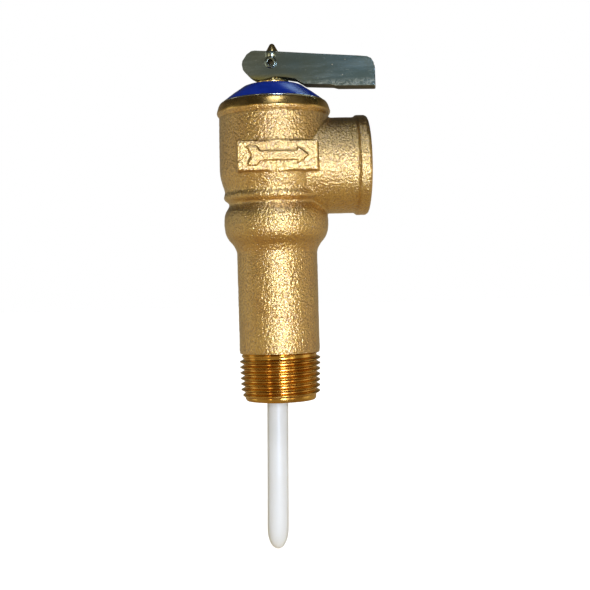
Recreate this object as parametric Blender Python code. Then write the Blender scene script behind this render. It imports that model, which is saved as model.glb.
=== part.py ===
"""Temperature and pressure relief valve, 3/4 inch, extended shank.

Frame: origin at the centre of the inlet thread's end face, +Z up the valve's
axis (towards the test lever), +X out of the outlet.  All driving dimensions
below are in millimetres and are turned into metres when a mesh is made.
"""
import math

import bmesh
import bpy
from mathutils import Matrix, Vector

MM = 0.001

# ------------------------------------------------------------ driving sizes
SEG = 24                 # facets round the casting
SEG_T = 16               # facets round the thin thermostat pieces
PITCH = 25.4 / 14.0      # 3/4-14 pipe thread
TAPER = 1.0 / 32.0       # taper on radius
THREAD_LEN = 15.0
CREST_R0 = 12.83         # male crest radius at z = 0
THREAD_H = 1.3
SHANK_R = 13.1
OUTLET_Z = 76.2          # outlet axis height
OUTLET_X = 30.0          # outlet face
NECK_R = 15.7
RIM_R = 16.4
PAD_Y = 18.25            # half of the 36.5 mm across the wrench flats
PAD_X = 12.7
PAD_Z = (73.2, 82.5)
SEAT_Z = 60.0
LIFT = 5.18              # full lift of the disc
PIN_Z = 109.8            # lever pin height
LEVER_YAW = math.radians(-12.0)
PLATE_T = 1.0
LEVER_W = 6.7
CAM_H = 5.5              # pin to cam face at rest
CAM_K = 3.3              # cam rise per radian
PROBE_TILT = math.radians(1.35)
PROBE_PIVOT_Z = 46.0
WIRE_R = 1.1
SPRING_R = 9.75
SPRING_Z = (65.1, 95.3)


# ------------------------------------------------------------------ helpers
def clear():
    for ob in list(bpy.data.objects):
        bpy.data.objects.remove(ob, do_unlink=True)


def material(name, rgb, rough, metal):
    m = bpy.data.materials.new(name)
    m.use_nodes = True
    b = m.node_tree.nodes["Principled BSDF"]
    b.inputs["Base Color"].default_value = (*rgb, 1.0)
    b.inputs["Roughness"].default_value = rough
    b.inputs["Metallic"].default_value = metal
    return m


def shade(ob, angle=32.0):
    ob.data.shade_smooth()
    ob.data.set_sharp_from_angle(angle=math.radians(angle))


def to_object(name, bm, mat=None, parent=None):
    bmesh.ops.recalc_face_normals(bm, faces=bm.faces[:])
    me = bpy.data.meshes.new(name)
    bm.to_mesh(me)
    bm.free()
    ob = bpy.data.objects.new(name, me)
    bpy.context.scene.collection.objects.link(ob)
    if mat is not None:
        me.materials.append(mat)
    if parent is not None:
        ob.parent = parent
    return ob


def empty(name, loc=(0, 0, 0), rot=None, parent=None):
    ob = bpy.data.objects.new(name, None)
    bpy.context.scene.collection.objects.link(ob)
    ob.location = Vector(loc) * MM
    if rot is not None:
        ob.rotation_euler = rot
    if parent is not None:
        ob.parent = parent
    return ob


def turned(name, profile, segs, z0=0.0, mat=None, parent=None):
    """Turn a closed (r, z) outline about Z; points with r = 0 lie on the axis."""
    bm = bmesh.new()
    rings = []
    for r, z in profile:
        if r <= 1e-9:
            rings.append([bm.verts.new((0.0, 0.0, (z - z0) * MM))])
        else:
            rings.append([bm.verts.new((r * math.cos(2 * math.pi * i / segs) * MM,
                                        r * math.sin(2 * math.pi * i / segs) * MM,
                                        (z - z0) * MM)) for i in range(segs)])
    n = len(rings)
    for k in range(n):
        a, b = rings[k], rings[(k + 1) % n]
        if len(a) == 1 and len(b) == 1:
            continue
        for i in range(segs):
            j = (i + 1) % segs
            if len(a) == 1:
                bm.faces.new((a[0], b[j], b[i]))
            elif len(b) == 1:
                bm.faces.new((a[i], a[j], b[0]))
            else:
                bm.faces.new((a[i], a[j], b[j], b[i]))
    return to_object(name, bm, mat, parent)


def swept_ring(name, section, arc0, arc1, segs, z0=0.0, mat=None, parent=None):
    """Part of a turned ring, from angle arc0 to arc1, with closed ends."""
    bm = bmesh.new()
    rings = []
    for i in range(segs + 1):
        a = arc0 + (arc1 - arc0) * i / segs
        rings.append([bm.verts.new((r * math.cos(a) * MM, r * math.sin(a) * MM,
                                    (z - z0) * MM)) for r, z in section])
    m = len(section)
    for i in range(segs):
        for k in range(m):
            q = (k + 1) % m
            bm.faces.new((rings[i][k], rings[i][q], rings[i + 1][q], rings[i + 1][k]))
    bm.faces.new(list(reversed(rings[0])))
    bm.faces.new(rings[-1])
    return to_object(name, bm, mat, parent)


def helix_ridge(name, z_start, z_end, steps, section, fade=0.6):
    """A helical ridge about Z.  section(z, f) gives four (r, dz) corners, with
    f running 0..1 from a faded end to the full form."""
    bm = bmesh.new()
    turns = (z_end - z_start) / PITCH
    count = int(round(turns * steps))
    rings = []
    for i in range(count + 1):
        t = i / steps
        z = z_start + t * PITCH
        f = min(1.0, t / fade, (turns - t) / fade)
        f = max(0.06, f)
        a = 2 * math.pi * t + 0.04
        rings.append([bm.verts.new((r * math.cos(a) * MM, r * math.sin(a) * MM,
                                    (z + dz) * MM)) for r, dz in section(z, f)])
    for i in range(count):
        for k in range(4):
            q = (k + 1) % 4
            bm.faces.new((rings[i][k], rings[i][q], rings[i + 1][q], rings[i + 1][k]))
    bm.faces.new(list(reversed(rings[0])))
    bm.faces.new(rings[-1])
    return to_object(name, bm)


def extruded(name, outline, lo, hi, frame=None, mat=None, parent=None):
    """Extrude a closed (u, v) outline from lo to hi.  The outline lies in the
    XZ plane and is extruded along Y, then moved by frame."""
    bm = bmesh.new()
    a = [bm.verts.new((u * MM, lo * MM, v * MM)) for u, v in outline]
    b = [bm.verts.new((u * MM, hi * MM, v * MM)) for u, v in outline]
    n = len(outline)
    bm.faces.new(a)
    bm.faces.new(list(reversed(b)))
    for i in range(n):
        j = (i + 1) % n
        bm.faces.new((a[i], b[i], b[j], a[j]))
    if frame is not None:
        bm.transform(frame)
    return to_object(name, bm, mat, parent)


def rod_between(name, r, lo, hi, segs, frame):
    """A plain round bar along Z from lo to hi, moved by frame."""
    bm = bmesh.new()
    a = [bm.verts.new((r * math.cos(2 * math.pi * i / segs) * MM,
                       r * math.sin(2 * math.pi * i / segs) * MM, lo * MM)) for i in range(segs)]
    b = [bm.verts.new((v.co.x, v.co.y, hi * MM)) for v in a]
    bm.faces.new(list(reversed(a)))
    bm.faces.new(b)
    for i in range(segs):
        j = (i + 1) % segs
        bm.faces.new((a[i], a[j], b[j], b[i]))
    bm.transform(frame)
    return to_object(name, bm)


def boolean(ob, other, operation):
    """Apply one exact Boolean and drop the tool solid."""
    bpy.context.view_layer.update()
    mod = ob.modifiers.new("bool", 'BOOLEAN')
    mod.solver = 'EXACT'
    mod.operation = operation
    mod.object = other
    deps = bpy.context.evaluated_depsgraph_get()
    deps.update()
    me = bpy.data.meshes.new_from_object(ob.evaluated_get(deps))
    old = ob.data
    ob.modifiers.remove(mod)
    ob.data = me
    me.name = ob.name
    bpy.data.meshes.remove(old)
    bpy.data.objects.remove(other, do_unlink=True)
    return ob


def cut(ob, *others):
    for o in others:
        boolean(ob, o, 'DIFFERENCE')
    return ob


def join(ob, *others):
    for o in others:
        boolean(ob, o, 'UNION')
    return ob


# ---------------------------------------------------------------- materials
def make_materials():
    return {
        "bronze": lambda n: material(n, (0.50, 0.31, 0.085), 0.42, 1.0),
        "brass": lambda n: material(n, (0.62, 0.43, 0.13), 0.25, 1.0),
        "steel": lambda n: material(n, (0.45, 0.45, 0.42), 0.32, 1.0),
        "blue": lambda n: material(n, (0.004, 0.007, 0.22), 0.18, 0.0),
        "white": lambda n: material(n, (0.86, 0.86, 0.84), 0.40, 0.0),
        "rubber": lambda n: material(n, (0.02, 0.02, 0.02), 0.70, 0.0),
        "copper": lambda n: material(n, (0.70, 0.32, 0.18), 0.30, 1.0),
        "wax": lambda n: material(n, (0.75, 0.66, 0.42), 0.60, 0.0),
        "fibre": lambda n: material(n, (0.16, 0.13, 0.10), 0.75, 0.0),
    }


# --------------------------------------------------------------------- body
def body_outline():
    """Outer outline of the casting from the inlet end to the rolled lip."""
    root0 = CREST_R0 - THREAD_H
    return [
        (root0 - 0.35, 0.0), (root0 + 0.05, 0.5), (root0 + 14.9 * TAPER, 14.9),
        (12.85, 15.25), (SHANK_R, 15.55), (SHANK_R, 48.3), (13.5, 49.4), (14.2, 50.8),
        (15.3, 52.0), (16.2, 53.3), (16.75, 54.8), (17.05, 57.4), (16.9, 60.0),
        (16.5, 61.6), (15.75, 63.3), (15.5, 64.4), (15.75, 65.3), (16.3, 66.4),
        (16.3, 67.6), (16.9, 68.9), (17.5, 71.2), (17.95, 73.2), (18.05, 75.0),
        (18.0, 82.0), (17.85, 92.0), (18.1, 92.6), (18.55, 93.0), (18.58, 93.7),
        (18.25, 95.2), (17.75, 96.4), (17.35, 96.95), (16.98, 97.05),
        (0.0, 97.05), (0.0, 0.0),
    ]


def make_body(mat, parent):
    body = turned("body", body_outline(), SEG)
    to_x = Matrix.Translation((0, 0, OUTLET_Z * MM)) @ Matrix.Rotation(math.pi / 2, 4, 'Y')

    def along_x(profile, segs):
        ob = turned("tool", profile, segs)
        ob.data.transform(to_x)
        return ob

    # outlet neck with its thicker rim, turned about the outlet axis
    join(body, along_x([(0, 4.0), (NECK_R, 4.0), (NECK_R, 25.9), (RIM_R, 26.4), (RIM_R, 29.5),
                        (15.85, OUTLET_X), (0, OUTLET_X)], SEG))
    # two wrench flats, front and back
    x, (z0, z1) = PAD_X, PAD_Z
    pad = [(-x, z0), (x, z0), (x, z1), (-x, z1)]
    join(body, extruded("tool", pad, -PAD_Y, -9.0))
    join(body, extruded("tool", pad, 9.0, PAD_Y))
    # raised flow arrow on the front flat, pointing at the outlet
    zc = 0.5 * (z0 + z1)
    arrow = [(-9.45, -2.9), (-6.6, -2.9), (-5.5, -1.35), (6.2, -1.35), (6.2, -2.45), (9.45, 0.0),
             (6.2, 2.45), (6.2, 1.35), (-5.5, 1.35), (-6.6, 2.9), (-9.45, 2.9), (-8.1, 0.0)]
    join(body, extruded("tool", [(u, zc + v) for u, v in arrow], -PAD_Y - 0.4, -PAD_Y + 0.9))
    # stepped waterway: inlet bore, ring groove, seat lip, spring chamber, lip
    cut(body, turned("tool", [
        (0, -1), (10.7, -1), (9.5, 0.5), (9.5, 38.7), (10.3, 38.7), (10.3, 39.9), (9.5, 39.9),
        (9.5, 43.9), (7.5, 43.95), (7.5, 59.6), (7.9, SEAT_Z), (8.7, SEAT_Z), (8.9, 59.8),
        (9.2, 57.6), (12.4, 57.6), (12.4, 68.5), (14.0, 70.0), (14.0, 93.0), (17.5, 93.0),
        (17.5, 95.9), (16.95, 96.1), (16.95, 98.0), (0, 98.0)], SEG))
    # outlet bore
    cut(body, along_x([(0, 0), (11.4, 0), (11.4, 15.2), (12.75, 16.0), (13.2, 29.4),
                       (13.9, 30.6), (0, 30.6)], SEG))

    def male(z, f):
        root = CREST_R0 - THREAD_H + z * TAPER
        crest = root + THREAD_H * f
        return [(root - 0.3, -0.78), (crest, -0.09), (crest, 0.09), (root - 0.3, 0.78)]

    join(body, helix_ridge("tool", 0.95, 14.3, 16, male))

    def female(z, f):
        wall = 12.75 + (z - 16.0) * (0.45 / 13.4)
        return [(wall + 0.5, -0.78), (wall - 1.15 * f, -0.09), (wall - 1.15 * f, 0.09),
                (wall + 0.5, 0.78)]

    ridge = helix_ridge("tool", 17.2, 28.6, 14, female)
    ridge.data.transform(to_x)
    join(body, ridge)
    body.data.materials.clear()
    body.data.materials.append(mat)
    body.parent = parent
    shade(body)
    return body


# -------------------------------------------------------------------- lever
def lever_outline():
    """Side outline of the lever in its own frame: u along the handle, v up,
    pin at (0, 0); the cam is an involute so lift follows the turn evenly."""
    pts = []
    for i in range(8):
        p = math.radians(58.0 * i / 7)
        h = CAM_H + CAM_K * p
        pts.append((-h * math.sin(p) - CAM_K * math.cos(p), -h * math.cos(p) + CAM_K * math.sin(p)))
    # blunt end, top edge with a slight droop, rounded tip
    pts += [(-9.53, -0.2), (-9.35, 0.9), (-7.85, 3.05), (-6.3, 4.05), (-5.2, 4.15), (3.0, 3.38),
            (16.8, 1.88), (28.6, 0.66), (31.3, 0.3), (32.6, -0.35), (33.4, -1.8)]
    # bottom of the channel, then the arch over the collar
    pts += [(33.45, -9.2), (21.3, -8.65), (19.7, -8.2), (10.8, -7.55), (7.8, -5.6), (4.6, -4.95),
            (1.1, -4.6), (-1.3, -5.15), (-2.6, -5.48)]
    return pts


def make_lever(mat, parent):
    out = lever_outline()
    lever = extruded("lever", out, -LEVER_W / 2, LEVER_W / 2)
    w = LEVER_W / 2 - PLATE_T
    # hollow the channel: open top, plain web under the handle only
    cut(lever, extruded("tool", [(-14, -10), (10.2, -10), (10.2, -6.5), (19.4, -7.15), (21.1, -7.62),
                                 (34.5, -8.25), (34.5, 8), (-14, 8)], -w, w))
    # stiffening emboss outside each cheek
    zc = 2.85
    for side in (-1, 1):
        fr = Matrix.Translation((0, side * (LEVER_W / 2 - 1.35) * MM, 0))
        rib = []
        for i in range(9):
            a = math.pi * i / 8
            rib.append((1.95 * math.cos(a), side * (1.35 - 0.75 + 1.35 * math.sin(a))))
        bm = bmesh.new()
        lo = [bm.verts.new((u * MM, v * MM, (zc - 0.95) * MM)) for u, v in rib]
        hi = [bm.verts.new((u * MM, v * MM, (zc + 0.85) * MM)) for u, v in rib]
        bm.faces.new(lo)
        bm.faces.new(list(reversed(hi)))
        for i in range(9):
            j = (i + 1) % 9
            bm.faces.new((lo[i], lo[j], hi[j], hi[i]))
        bm.transform(fr)
        join(lever, to_object("tool", bm))
    # pin hole through both cheeks
    turn = Matrix.Rotation(math.pi / 2, 4, 'X')
    cut(lever, rod_between("tool", 1.5, -6, 6, 16, turn))
    # keep the cheeks' inner faces clear of the stem
    cut(lever, extruded("tool", [(-14, -12), (10.1, -12), (10.1, 8), (-14, 8)], -w, w))
    lever.data.materials.clear()
    lever.data.materials.append(mat)
    lever.parent = parent
    shade(lever)
    return lever


def make_lever_pin(mat, parent):
    """Hollow rivet across the stem and both cheeks."""
    w = LEVER_W / 2
    prof = [(0.95, -w - 0.75), (1.6, -w - 0.75), (1.95, -w - 0.45), (1.95, -w - 0.1),
            (1.4, -w - 0.1), (1.4, w + 0.1), (1.95, w + 0.1), (1.95, w + 0.45),
            (1.6, w + 0.75), (0.95, w + 0.75)]
    pin = turned("lever_pin", prof, 16, mat=mat)
    pin.data.transform(Matrix.Rotation(math.pi / 2, 4, 'X'))
    pin.parent = parent
    shade(pin)
    return pin


# --------------------------------------------------------------- thermostat
def bullet(r0, z0, z_tip, rings):
    """(r, z) points of a bullet nose from the full radius to the tip."""
    pts = []
    for i in range(rings + 1):
        t = math.sin(0.5 * math.pi * i / rings)
        r = r0 * math.sqrt(max(0.0, 1.0 - t ** 2.6))
        pts.append((r if i < rings else 0.0, z0 - t * (z0 - z_tip)))
    return pts


def make_spring(mat, parent):
    """Closed and ground compression spring round Z."""
    z0, z1 = SPRING_Z[0] + WIRE_R, SPRING_Z[1] - WIRE_R
    turns, dead, dead_pitch = 7.0, 1.0, 2.35
    live = (z1 - z0 - 2 * dead * dead_pitch) / (turns - 2 * dead)

    def height(t):
        if t < dead:
            return z0 + t * dead_pitch
        if t > turns - dead:
            return z1 - (turns - t) * dead_pitch
        return z0 + dead * dead_pitch + (t - dead) * live

    steps, sides = 12, 6
    bm = bmesh.new()
    rings = []
    n = int(turns * steps)
    for i in range(n + 1):
        t = i / steps
        a = 2 * math.pi * t
        c = Vector((SPRING_R * math.cos(a), SPRING_R * math.sin(a), height(t)))
        radial = Vector((math.cos(a), math.sin(a), 0))
        ring = []
        for k in range(sides):
            b = 2 * math.pi * k / sides
            ring.append(bm.verts.new((c + radial * WIRE_R * math.cos(b)
                                      + Vector((0, 0, WIRE_R * math.sin(b)))) * MM))
        rings.append(ring)
    for i in range(n):
        for k in range(sides):
            q = (k + 1) % sides
            bm.faces.new((rings[i][k], rings[i][q], rings[i + 1][q], rings[i + 1][k]))
    bm.faces.new(list(reversed(rings[0])))
    bm.faces.new(rings[-1])
    ob = to_object("spring", bm, mat, parent)
    shade(ob, 50)
    return ob


def main():
    clear()
    mats = make_materials()
    valve = empty("valve_axis")
    probe = empty("probe_axis", (0, 0, PROBE_PIVOT_Z), (0, PROBE_TILT, 0), valve)
    disc_axis = empty("disc_axis", (0, 0, SEAT_Z), None, valve)
    stem_axis = empty("stem_axis", (0, 0, 6.2), None, disc_axis)
    lever_axis = empty("lever_axis", (0, 0, PIN_Z - SEAT_Z - 6.2), (0, 0, LEVER_YAW), stem_axis)
    zs, zt, zp = SEAT_Z, SEAT_Z + 6.2, PROBE_PIVOT_Z

    make_body(mats["bronze"]("cast_bronze_body"), valve)

    # ---- cap of the spring chamber
    shade(turned("bonnet_gasket", [(14.3, 93.1), (17.2, 93.1), (17.2, 93.7), (14.3, 93.7)], SEG,
                 mat=mats["fibre"]("gasket_fibre"), parent=valve))
    shade(turned("bonnet", [(4.0, 93.6), (8.2, 93.6), (8.2, 95.6), (11.4, 95.6), (11.4, 93.9),
                            (17.3, 93.9), (17.3, 95.6), (16.5, 95.8), (16.2, 96.4), (8.2, 101.62),
                            (8.0, 101.7), (4.0, 101.7)], SEG,
                 mat=mats["brass"]("bonnet_brass"), parent=valve))
    shade(turned("label_plate", [(4.3, 102.25), (8.4, 102.25), (9.4, 101.9), (10.7, 101.0),
                                 (13.0, 99.45), (16.48, 96.8), (16.78, 97.25), (13.25, 99.95),
                                 (11.0, 101.45), (9.7, 102.35), (8.6, 102.75), (4.3, 102.75)], SEG,
                 mat=mats["blue"]("blue_enamel"), parent=valve), 20)
    shade(turned("stem_bushing", [(2.2, 93.8), (3.9, 93.8), (3.9, 103.05), (5.4, 103.05),
                                  (5.4, 103.85), (5.05, 104.2), (2.2, 104.2), (2.2, 99.3),
                                  (3.05, 99.3), (3.05, 97.5), (2.2, 97.5)], SEG,
                 mat=mats["brass"]("bushing_brass"), parent=valve))
    seal = [(2.57 + 0.4 * math.cos(2 * math.pi * k / 8), 98.4 + 0.4 * math.sin(2 * math.pi * k / 8))
            for k in range(8)]
    shade(turned("stem_seal", seal, SEG, mat=mats["rubber"]("stem_seal_rubber"), parent=valve), 60)
    make_spring(mats["steel"]("spring_steel"), valve)

    # ---- disc carrier, washer and screw
    holder = turned("disc_holder", [
        (0, 65.3), (2.6, 65.3), (2.6, 62.7), (9.5, 62.7), (9.5, 60.7), (10.9, 60.7), (10.9, 62.6),
        (11.9, 62.6), (11.9, 64.8), (8.0, 64.8), (8.0, 72.0), (7.5, 72.5), (4.1, 72.5), (4.1, 70.8),
        (5.0, 70.8), (5.0, 69.6), (4.1, 69.6), (4.1, 66.3), (0, 66.3)], SEG, z0=zs)
    for k in range(4):
        a = math.pi / 4 + k * math.pi / 2
        fr = Matrix.Translation((13.1 * math.cos(a) * MM, 13.1 * math.sin(a) * MM, 0))
        cut(holder, rod_between("tool", 2.1, -1, 6, 12, fr))
    holder.data.materials.clear()
    holder.data.materials.append(mats["brass"]("disc_holder_brass"))
    holder.parent = disc_axis
    shade(holder)
    shade(turned("seat_washer", [(2.8, 60.15), (9.3, 60.15), (9.3, 62.4), (2.8, 62.4)], SEG, z0=zs,
                 mat=mats["rubber"]("seat_rubber"), parent=disc_axis))
    screw = turned("disc_screw", [(0, 58.8), (5.8, 58.8), (6.2, 59.2), (6.2, 59.85), (2.4, 59.85),
                                  (2.4, 64.9), (0, 64.9)], SEG, z0=zs)
    cut(screw, extruded("tool", [(-8, -2), (8, -2), (8, -0.75), (-8, -0.75)], -0.6, 0.6))
    screw.data.materials.clear()
    screw.data.materials.append(mats["brass"]("disc_screw_brass"))
    screw.parent = disc_axis
    shade(screw)
    arc = math.radians(32)
    shade(swept_ring("stem_snap_ring", [(2.6, 69.8), (4.8, 69.8), (4.8, 70.55), (2.6, 70.55)],
                     arc, 2 * math.pi - arc, 22, zs, mats["steel"]("snap_ring_steel"), disc_axis))

    # ---- stem
    stem = turned("stem", [(0, 66.5), (3.7, 66.5), (3.95, 66.8), (3.95, 69.2), (2.05, 69.3),
                           (2.05, 114.0), (0.75, 116.2), (0.4, 116.5), (0, 116.5)], SEG, z0=zt)
    hole = Matrix.Translation((0, 0, (PIN_Z - zt) * MM)) @ Matrix.Rotation(LEVER_YAW, 4, 'Z') \
        @ Matrix.Rotation(math.pi / 2, 4, 'X')
    cut(stem, rod_between("tool", 1.5, -6, 6, 16, hole))
    stem.data.materials.clear()
    stem.data.materials.append(mats["brass"]("stem_brass"))
    stem.parent = stem_axis
    shade(stem)

    make_lever(mats["steel"]("lever_zinc_steel"), lever_axis)
    make_lever_pin(mats["steel"]("pin_steel"), lever_axis)

    # ---- thermostat carrier in the inlet bore
    spider = turned("thermostat_spider", [(8.0, 40.2), (9.4, 40.2), (9.4, 43.8), (8.0, 43.8)], SEG)
    for k in range(3):
        a = math.radians(30 + 120 * k)
        fr = Matrix.Rotation(a, 4, 'Z')
        join(spider, extruded("tool", [(4.5, 41.0), (8.7, 41.0), (8.7, 43.4), (4.5, 43.4)],
                              -1.0, 1.0, fr))
    join(spider, turned("tool", [(4.1, 40.2), (5.6, 40.2), (5.6, 45.7), (4.1, 45.7)], SEG))
    spider.data.materials.clear()
    spider.data.materials.append(mats["brass"]("spider_brass"))
    spider.parent = valve
    shade(spider)
    shade(swept_ring("retaining_ring", [(8.3, 38.9), (10.1, 38.9), (10.1, 39.7), (8.3, 39.7)],
                     arc, 2 * math.pi - arc, 24, 0.0, mats["steel"]("retaining_ring_steel"), valve))

    # ---- thermostat, hanging a little out of line
    shade(turned("thermostat_head", [(3.05, 33.0), (3.75, 33.0), (3.75, 46.0), (5.6, 46.0),
                                     (5.6, 47.3), (5.3, 47.6), (3.2, 47.6), (3.2, 52.5),
                                     (1.35, 52.5), (1.35, 40.0), (3.05, 40.0)], SEG_T, zp,
                 mats["brass"]("thermostat_head_brass"), probe))
    tube_out = bullet(2.95, -41.0, -48.1, 5)
    tube_in = bullet(2.5, -41.0, -47.5, 5)
    shade(turned("thermostat_tube", [(2.95, 39.8)] + tube_out + list(reversed(tube_in))
                 + [(2.5, 39.8)], SEG_T, zp, mats["copper"]("tube_copper"), probe))
    coat_out = bullet(3.46, -41.0, -48.8, 6)
    coat_in = bullet(3.05, -41.0, -48.3, 6)
    shade(turned("probe_sheath", [(3.46, 32.7)] + coat_out + list(reversed(coat_in))
                 + [(3.05, 32.7)], SEG_T, zp, mats["white"]("white_polymer"), probe))
    shade(turned("wax_charge", [(0, 35.7), (2.4, 35.7)] + bullet(2.4, -41.0, -47.2, 5), SEG_T, zp,
                 mats["wax"]("wax"), probe))
    shade(turned("rod_seal", [(1.2, 36.0), (2.4, 36.0), (2.4, 39.7), (1.2, 39.7)], SEG_T, zp,
                 mats["rubber"]("rod_seal_rubber"), probe))
    shade(turned("push_rod", [(0, 36.4), (1.1, 36.4), (1.1, 57.3), (0.8, 57.6), (0, 57.6)],
                 SEG_T, zp, mats["steel"]("push_rod_steel"), probe))


main()
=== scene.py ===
"""Looks of the temperature and pressure relief valve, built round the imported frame.

All sizes are in millimetres in the tables below and become metres in the meshes.
"""
import math

import bmesh
import bpy
import numpy as np
from mathutils import Matrix, Vector, noise


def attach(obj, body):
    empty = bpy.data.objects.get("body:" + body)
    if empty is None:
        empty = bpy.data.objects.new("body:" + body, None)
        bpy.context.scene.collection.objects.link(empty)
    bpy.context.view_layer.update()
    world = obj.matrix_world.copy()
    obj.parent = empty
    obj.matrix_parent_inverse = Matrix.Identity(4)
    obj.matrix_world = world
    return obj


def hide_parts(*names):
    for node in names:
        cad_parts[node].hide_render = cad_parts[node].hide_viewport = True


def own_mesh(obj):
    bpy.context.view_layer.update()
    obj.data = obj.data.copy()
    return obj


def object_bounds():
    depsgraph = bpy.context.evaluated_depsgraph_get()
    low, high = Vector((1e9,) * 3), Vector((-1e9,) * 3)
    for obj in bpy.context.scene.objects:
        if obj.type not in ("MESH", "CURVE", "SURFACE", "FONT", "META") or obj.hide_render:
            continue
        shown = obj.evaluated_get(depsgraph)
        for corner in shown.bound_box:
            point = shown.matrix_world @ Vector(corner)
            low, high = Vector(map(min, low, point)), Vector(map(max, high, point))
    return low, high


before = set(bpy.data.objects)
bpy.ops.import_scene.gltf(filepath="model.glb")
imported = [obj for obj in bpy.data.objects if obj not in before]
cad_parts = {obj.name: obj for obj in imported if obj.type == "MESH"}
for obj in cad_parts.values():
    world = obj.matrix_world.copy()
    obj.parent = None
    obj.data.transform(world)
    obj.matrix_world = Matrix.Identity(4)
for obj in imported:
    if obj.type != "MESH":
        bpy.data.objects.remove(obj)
CAD_LO, CAD_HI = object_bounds()

MM = 0.001
PITCH = 25.4 / 14.0
TAPER = 1.0 / 32.0
CREST_R0 = 12.83
THREAD_H = 1.3
SHANK_R = 13.1
OUTLET_Z, OUTLET_X = 76.2, 30.0
NECK_R, RIM_R = 15.7, 16.4
PAD_X, PAD_Y, PAD_Z0, PAD_Z1 = 12.7, 18.25, 73.2, 82.5
SEAT_Z = 60.0
PIN_Z = 109.8
LEVER_YAW = math.radians(-12.0)
LEVER_W, PLATE_T = 6.7, 1.0
CAM_H, CAM_K = 5.5, 3.3
PROBE_TILT, PROBE_Z = math.radians(1.35), 46.0
WIRE_R, SPRING_R = 1.1, 9.75
SPRING_Z = (65.1, 95.3)
TO_X = Matrix.Translation((0, 0, OUTLET_Z * MM)) @ Matrix.Rotation(math.pi / 2, 4, 'Y')
TILT = Matrix.Translation((0, 0, PROBE_Z * MM)) @ Matrix.Rotation(PROBE_TILT, 4, 'Y') \
    @ Matrix.Translation((0, 0, -PROBE_Z * MM))
TO_LEVER = Matrix.Translation((0, 0, PIN_Z * MM)) @ Matrix.Rotation(LEVER_YAW, 4, 'Z')


# ------------------------------------------------------------ mesh helpers
def link(name, me):
    ob = bpy.data.objects.new(name, me)
    bpy.context.scene.collection.objects.link(ob)
    return ob


def from_bm(name, bm):
    bmesh.ops.recalc_face_normals(bm, faces=bm.faces[:])
    me = bpy.data.meshes.new(name)
    bm.to_mesh(me)
    bm.free()
    return link(name, me)


def fillet(profile, radius, steps=3, closed=True):
    """Rounds the corners of an (r, z) outline, so that edges catch the light."""
    n = len(profile)
    out = []
    for i, p in enumerate(profile):
        p = np.array(p, float)
        if not closed and i in (0, n - 1):
            out.append(tuple(p))
            continue
        a, b = np.array(profile[i - 1], float), np.array(profile[(i + 1) % n], float)
        if abs(p[0]) < 1e-6:
            out.append(tuple(p))
            continue
        u, v = a - p, b - p
        lu, lv = np.linalg.norm(u), np.linalg.norm(v)
        u, v = u / lu, v / lv
        ang = math.acos(max(-1.0, min(1.0, float(u @ v))))
        if ang > math.radians(155):
            out.append(tuple(p))
            continue
        cutlen = min(radius / math.tan(ang / 2), 0.4 * lu, 0.4 * lv)
        r = cutlen * math.tan(ang / 2)
        c = p + (u + v) / np.linalg.norm(u + v) * (r / math.sin(ang / 2))
        s, e = p + u * cutlen - c, p + v * cutlen - c
        a0, a1 = math.atan2(s[1], s[0]), math.atan2(e[1], e[0])
        d = (a1 - a0 + math.pi) % (2 * math.pi) - math.pi
        for k in range(steps + 1):
            t = a0 + d * k / steps
            q = c + r * np.array((math.cos(t), math.sin(t)))
            out.append((float(q[0]), float(q[1])))
    return out


def turned(name, profile, segs=96, radius=0.0, matrix=None, phase=0.0):
    """Turns a closed (r, z) outline about Z."""
    if radius:
        profile = fillet(profile, radius)
    bm = bmesh.new()
    rings = []
    for r, z in profile:
        if r <= 1e-6:
            rings.append([bm.verts.new((0, 0, z * MM))])
        else:
            rings.append([bm.verts.new((r * MM * math.cos(phase + 2 * math.pi * i / segs),
                                        r * MM * math.sin(phase + 2 * math.pi * i / segs), z * MM))
                          for i in range(segs)])
    n = len(rings)
    for k in range(n):
        a, b = rings[k], rings[(k + 1) % n]
        if len(a) == 1 and len(b) == 1:
            continue
        for i in range(segs):
            j = (i + 1) % segs
            if len(a) == 1:
                bm.faces.new((a[0], b[j], b[i]))
            elif len(b) == 1:
                bm.faces.new((a[i], a[j], b[0]))
            else:
                bm.faces.new((a[i], a[j], b[j], b[i]))
    if matrix is not None:
        bm.transform(matrix)
    return from_bm(name, bm)


def swept(name, rings_co, closed_ends=True, matrix=None):
    """Skins a run of equal rings of points."""
    bm = bmesh.new()
    rings = [[bm.verts.new(Vector(c) * MM) for c in ring] for ring in rings_co]
    m = len(rings[0])
    for i in range(len(rings) - 1):
        for k in range(m):
            q = (k + 1) % m
            bm.faces.new((rings[i][k], rings[i][q], rings[i + 1][q], rings[i + 1][k]))
    if closed_ends:
        bm.faces.new(list(reversed(rings[0])))
        bm.faces.new(rings[-1])
    if matrix is not None:
        bm.transform(matrix)
    return from_bm(name, bm)


def helix_ridge(name, z0, z1, steps, section, fade=0.75, matrix=None):
    turns = (z1 - z0) / PITCH
    count = int(round(turns * steps))
    rings = []
    for i in range(count + 1):
        t = i / steps
        z = z0 + t * PITCH
        f = max(0.05, min(1.0, t / fade, (turns - t) / fade))
        a = 2 * math.pi * t + 0.04
        rings.append([(r * math.cos(a), r * math.sin(a), z + dz) for r, dz in section(z, f)])
    return swept(name, rings, matrix=matrix)


def extruded(name, outline, lo, hi, matrix=None):
    bm = bmesh.new()
    a = [bm.verts.new((u * MM, lo * MM, v * MM)) for u, v in outline]
    b = [bm.verts.new((u * MM, hi * MM, v * MM)) for u, v in outline]
    n = len(outline)
    bm.faces.new(a)
    bm.faces.new(list(reversed(b)))
    for i in range(n):
        j = (i + 1) % n
        bm.faces.new((a[i], b[i], b[j], a[j]))
    if matrix is not None:
        bm.transform(matrix)
    return from_bm(name, bm)


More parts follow.
